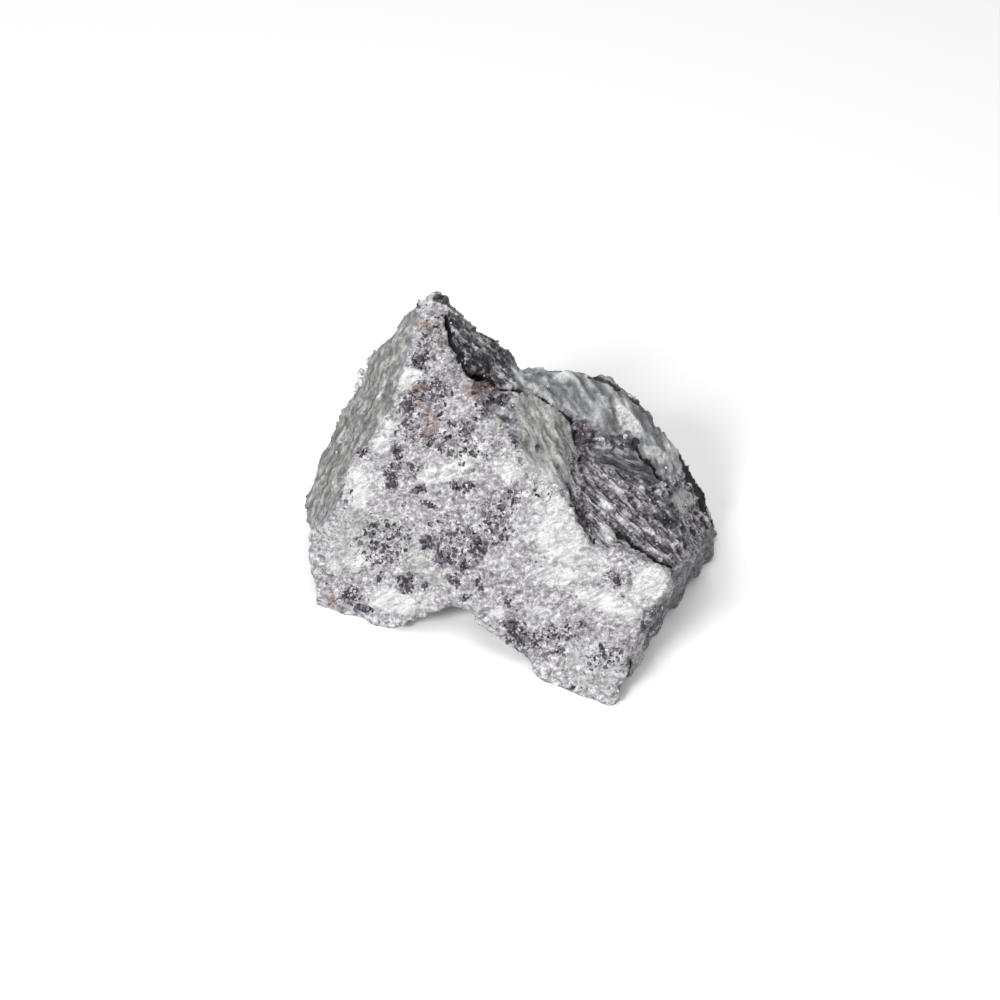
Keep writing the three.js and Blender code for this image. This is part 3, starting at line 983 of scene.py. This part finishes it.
    def build(self) -> bpy.types.Object:
        """Make the lump.

        Returns:
            The lump, in place of the solid.
        """
        mesh = self.even_mesh()
        self.read(mesh)
        self.shares = self.paint()
        self.points = self.points + self.normals * self.relief(self.shares)[:, None]
        self.shares |= {"fold": self.fold, "crisp": self.crisp}
        self.points[:, 2] = np.where(self.at_foot, 0.0, np.maximum(self.points[:, 2], 0.0))
        mesh.vertices.foreach_set("co", (self.points * MM).ravel())
        mesh.update()
        mesh.shade_smooth()
        for name, values in self.shares.items():
            data = mesh.attributes.new(name, "FLOAT", "POINT").data
            data.foreach_set("value", values.astype(np.float32))
        mesh.materials.clear()
        mesh.materials.append(self.finish.build({m: self.run(m.value.run) for m in Mineral}))
        mesh.name = "rock_lump"
        body = place_piece(mesh)
        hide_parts(NODE)
        return body


@dataclass(frozen=True)
class FlakeFinish:
    """Cleaved lepidolite: thin glossy plates, near black to lilac, that glint where they face the light."""

    ior: float = 1.56
    roughness: float = 0.24
    streak_size: float = 0.3
    streak_detail: float = 3.0
    streak_share: float = 0.4
    streak_height: float = 0.04
    stops: tuple[tuple[float, str], ...] = (
        (0.2, "#1A171D"), (0.45, "#393240"), (0.7, "#665C6B"), (0.9, "#A69BA8"),
    )

    def build(self) -> bpy.types.Material:
        """Make the material.

        Returns:
            The material.
        """
        material = bpy.data.materials.new("lepidolite_mica_cleaved")
        material.use_nodes = True
        tree = material.node_tree
        tree.nodes.clear()
        place = add_node(tree, "ShaderNodeTexCoord").outputs["Object"]
        shade = add_node(tree, "ShaderNodeAttribute", attribute_name="shade").outputs["Fac"]
        streak = add_node(
            tree, "ShaderNodeTexNoise",
            {"Vector": place, "Scale": 1.0 / (self.streak_size * MM), "Detail": self.streak_detail},
        ).outputs[0]
        mixed = add_node(tree, "ShaderNodeMix", {0: self.streak_share, 2: shade, 3: streak}).outputs[0]
        tint = add_node(tree, "ShaderNodeValToRGB", {0: mixed}, stops=self.stops).outputs[0]
        bump = add_node(
            tree, "ShaderNodeBump", {"Distance": self.streak_height * MM, "Height": streak}
        ).outputs[0]
        shader = add_node(
            tree, "ShaderNodeBsdfPrincipled",
            {"Base Color": tint, "Roughness": self.roughness, "Normal": bump, "IOR": self.ior},
        )
        add_node(tree, "ShaderNodeOutputMaterial", {"Surface": shader.outputs[0]})
        return material


@dataclass(frozen=True)
class QuartzFinish:
    """Broken clear quartz: bright glassy grains, which the light turns white."""

    ior: float = 1.54
    roughness: float = 0.12
    cloud_size: float = 0.4
    cloud_detail: float = 2.0
    stops: tuple[tuple[float, str], ...] = ((0.35, "#8B8D91"), (0.65, "#E2E3E4"))

    def build(self) -> bpy.types.Material:
        """Make the material.

        Returns:
            The material.
        """
        material = bpy.data.materials.new("quartz_grain_broken")
        material.use_nodes = True
        tree = material.node_tree
        tree.nodes.clear()
        place = add_node(tree, "ShaderNodeTexCoord").outputs["Object"]
        cloud = add_node(
            tree, "ShaderNodeTexNoise",
            {"Vector": place, "Scale": 1.0 / (self.cloud_size * MM), "Detail": self.cloud_detail},
        ).outputs[0]
        tint = add_node(tree, "ShaderNodeValToRGB", {0: cloud}, stops=self.stops).outputs[0]
        shader = add_node(
            tree, "ShaderNodeBsdfPrincipled",
            {"Base Color": tint, "Roughness": self.roughness, "IOR": self.ior},
        )
        add_node(tree, "ShaderNodeOutputMaterial", {"Surface": shader.outputs[0]})
        return material


@dataclass
class MicaFlakes:
    """Thin plates of mica that stand out of the lump where its mica is dense."""

    rock: RockBody
    finish: FlakeFinish
    count: int = 2100
    seed: int = 5
    corners: int = 6
    corner_shift: float = 0.3
    half_length: tuple[float, float] = (0.2, 0.6)
    narrow: tuple[float, float] = (0.5, 0.95)
    ragged: float = 0.22
    thickness: float = 0.14
    proud: float = 0.02
    lean: float = 0.22
    scarce: float = 0.35
    gather: float = 1.2

    def build(self) -> bpy.types.Object:
        """Make the flakes.

        Returns:
            All flakes as one mesh.
        """
        draw = np.random.default_rng(self.seed)
        dense = np.clip(self.rock.shares["mica"] - self.scarce, 0.0, 1.0)
        chance = dense ** self.gather * (self.rock.points[:, 2] > self.rock.foot_fade)
        chosen = draw.choice(len(chance), self.count, replace=False, p=chance / chance.sum())
        vertices, faces, shades = [], [], []
        ring = np.arange(self.corners)
        for centre, normal in zip(self.rock.points[chosen], self.rock.normals[chosen]):
            up = Vector(normal + self.lean * draw.normal(size=3)).normalized()
            along = Vector(draw.normal(size=3)).cross(up).normalized()
            across = up.cross(along)
            length = draw.uniform(*self.half_length)
            width = length * draw.uniform(*self.narrow)
            shift = draw.uniform(-self.corner_shift, self.corner_shift, self.corners)
            turns = 2.0 * np.pi * (ring + shift) / self.corners
            reach = 1.0 + draw.uniform(-self.ragged, self.ragged, self.corners)
            flat = np.outer(length * reach * np.cos(turns), along)
            flat += np.outer(width * reach * np.sin(turns), across)
            top = centre + flat + self.proud * np.array(up)
            start = len(vertices)
            vertices.extend(np.concatenate([top, top - self.thickness * np.array(up)]) * MM)
            low = start + self.corners
            faces.append([start + i for i in ring])
            faces.append([low + i for i in ring[::-1]])
            nexts = np.roll(ring, -1)
            faces.extend([start + j, start + i, low + i, low + j] for i, j in zip(ring, nexts))
            shades.extend([draw.uniform()] * (2 * self.corners))
        mesh = bpy.data.meshes.new("mica_flakes")
        mesh.from_pydata([tuple(v) for v in vertices], [], [[int(i) for i in face] for face in faces])
        mesh.attributes.new("shade", "FLOAT", "POINT").data.foreach_set("value", np.array(shades, np.float32))
        mesh.materials.append(self.finish.build())
        return place_piece(mesh)


@dataclass
class QuartzGrains:
    """Small clear grains that sparkle, and the nest of crystals on the left flank."""

    rock: RockBody
    finish: QuartzFinish
    seed: int = 9
    sparkle_half: tuple[float, float] = (0.3, 0.5)
    nest_count: int = 11
    nest_reach: float = 0.75
    nest_half: tuple[float, float] = (0.4, 0.85)
    loose_count: int = 120
    loose_half: tuple[float, float] = (0.1, 0.24)
    ragged: float = 0.3
    sunk: float = 0.35

    def build(self) -> bpy.types.Object:
        """Make the grains.

        Returns:
            All grains as one mesh.
        """
        draw = np.random.default_rng(self.seed)
        spots = [(*self.rock.spot_on(pixel), draw.uniform(*self.sparkle_half)) for pixel in SPARKLES]
        middle = self.rock.spot_on(CRYSTAL_NEST)[0]
        for _ in range(self.nest_count):
            shift = Vector(draw.normal(size=3)) * self.nest_reach
            nearest = np.argmin(np.linalg.norm(self.rock.points - np.array(middle + shift), axis=1))
            half = draw.uniform(*self.nest_half)
            spots.append((Vector(self.rock.points[nearest]), Vector(self.rock.normals[nearest]), half))
        glassy = np.max([self.rock.shares[mineral.share_name] for mineral in GLASSY], axis=0)
        chance = glassy * (self.rock.points[:, 2] > self.rock.foot_fade)
        for i in draw.choice(len(chance), self.loose_count, replace=False, p=chance / chance.sum()):
            half = draw.uniform(*self.loose_half)
            spots.append((Vector(self.rock.points[i]), Vector(self.rock.normals[i]), half))
        work = bmesh.new()
        for place, out, half in spots:
            grain = bmesh.ops.create_icosphere(work, subdivisions=1, radius=half * MM)["verts"]
            for vertex in grain:
                jitter = 1.0 + draw.uniform(-self.ragged, self.ragged)
                vertex.co = vertex.co * jitter + (place + out * half * self.sunk) * MM
        mesh = bpy.data.meshes.new("quartz_grains")
        work.to_mesh(mesh)
        work.free()
        mesh.materials.append(self.finish.build())
        return place_piece(mesh)


def place_piece(mesh: bpy.types.Mesh) -> bpy.types.Object:
    """Put a mesh in the scene as a piece of the rock.

    Args:
        mesh: the mesh, which also names the piece.

    Returns:
        The piece.
    """
    piece = bpy.data.objects.new(mesh.name, mesh)
    bpy.context.scene.collection.objects.link(piece)
    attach(piece, BODY)
    return piece


@dataclass(frozen=True)
class Studio:
    """Plain pale floor and soft light: a matt white board that shows no edge behind the rock."""

    floor_half: float = 2000.0
    floor_colour: str = "#FAFAFA"
    floor_roughness: float = 0.9
    world_colour: str = "#FFFFFF"
    world_strength: float = 0.42
    key_place: tuple[float, float, float] = (-340.0, -420.0, 430.0)
    key_wide: float = 200.0
    key_watts: float = 3.2
    top_place: tuple[float, float, float] = (0.0, 60.0, 800.0)
    top_wide: float = 700.0
    top_watts: float = 3.2

    def build(self) -> None:
        """Make the floor, the lights and the world."""
        scene = bpy.context.scene
        side = self.floor_half * MM
        mesh = bpy.data.meshes.new("floor")
        corners = [(-side, -side, 0), (side, -side, 0), (side, side, 0), (-side, side, 0)]
        mesh.from_pydata(corners, [], [(0, 1, 2, 3)])
        material = bpy.data.materials.new("painted_board_matt")
        material.use_nodes = True
        shader = material.node_tree.nodes["Principled BSDF"]
        shader.inputs["Base Color"].default_value = linear(self.floor_colour)
        shader.inputs["Roughness"].default_value = self.floor_roughness
        mesh.materials.append(material)
        floor = bpy.data.objects.new("floor", mesh)
        scene.collection.objects.link(floor)
        for name, place, wide, watts in (
            ("key", self.key_place, self.key_wide, self.key_watts),
            ("top", self.top_place, self.top_wide, self.top_watts),
        ):
            data = bpy.data.lights.new(name, "AREA")
            data.size, data.energy = wide * MM, watts
            light = bpy.data.objects.new(name, data)
            light.location = Vector(place) * MM
            light.rotation_euler = (-light.location).to_track_quat("-Z", "Y").to_euler()
            scene.collection.objects.link(light)
        world = bpy.data.worlds.new("studio")
        world.use_nodes = True
        sky = world.node_tree.nodes["Background"]
        sky.inputs["Color"].default_value = linear(self.world_colour)
        sky.inputs["Strength"].default_value = self.world_strength
        scene.world = world
        scene.view_settings.view_transform = "Standard"


def main() -> None:
    """Build the scene and report each piece."""
    logging.basicConfig(level=logging.INFO, format="%(name)s: %(message)s")
    view = PhotoView()
    view.make_camera()
    Studio().build()
    rock = RockBody(view, RockFinish())
    for maker in (rock, MicaFlakes(rock, FlakeFinish()), QuartzGrains(rock, QuartzFinish())):
        piece = maker.build()
        piece.data.calc_loop_triangles()
        log.info("%s: %d triangles", piece.name, len(piece.data.loop_triangles))


if __name__ == "__main__":
    main()
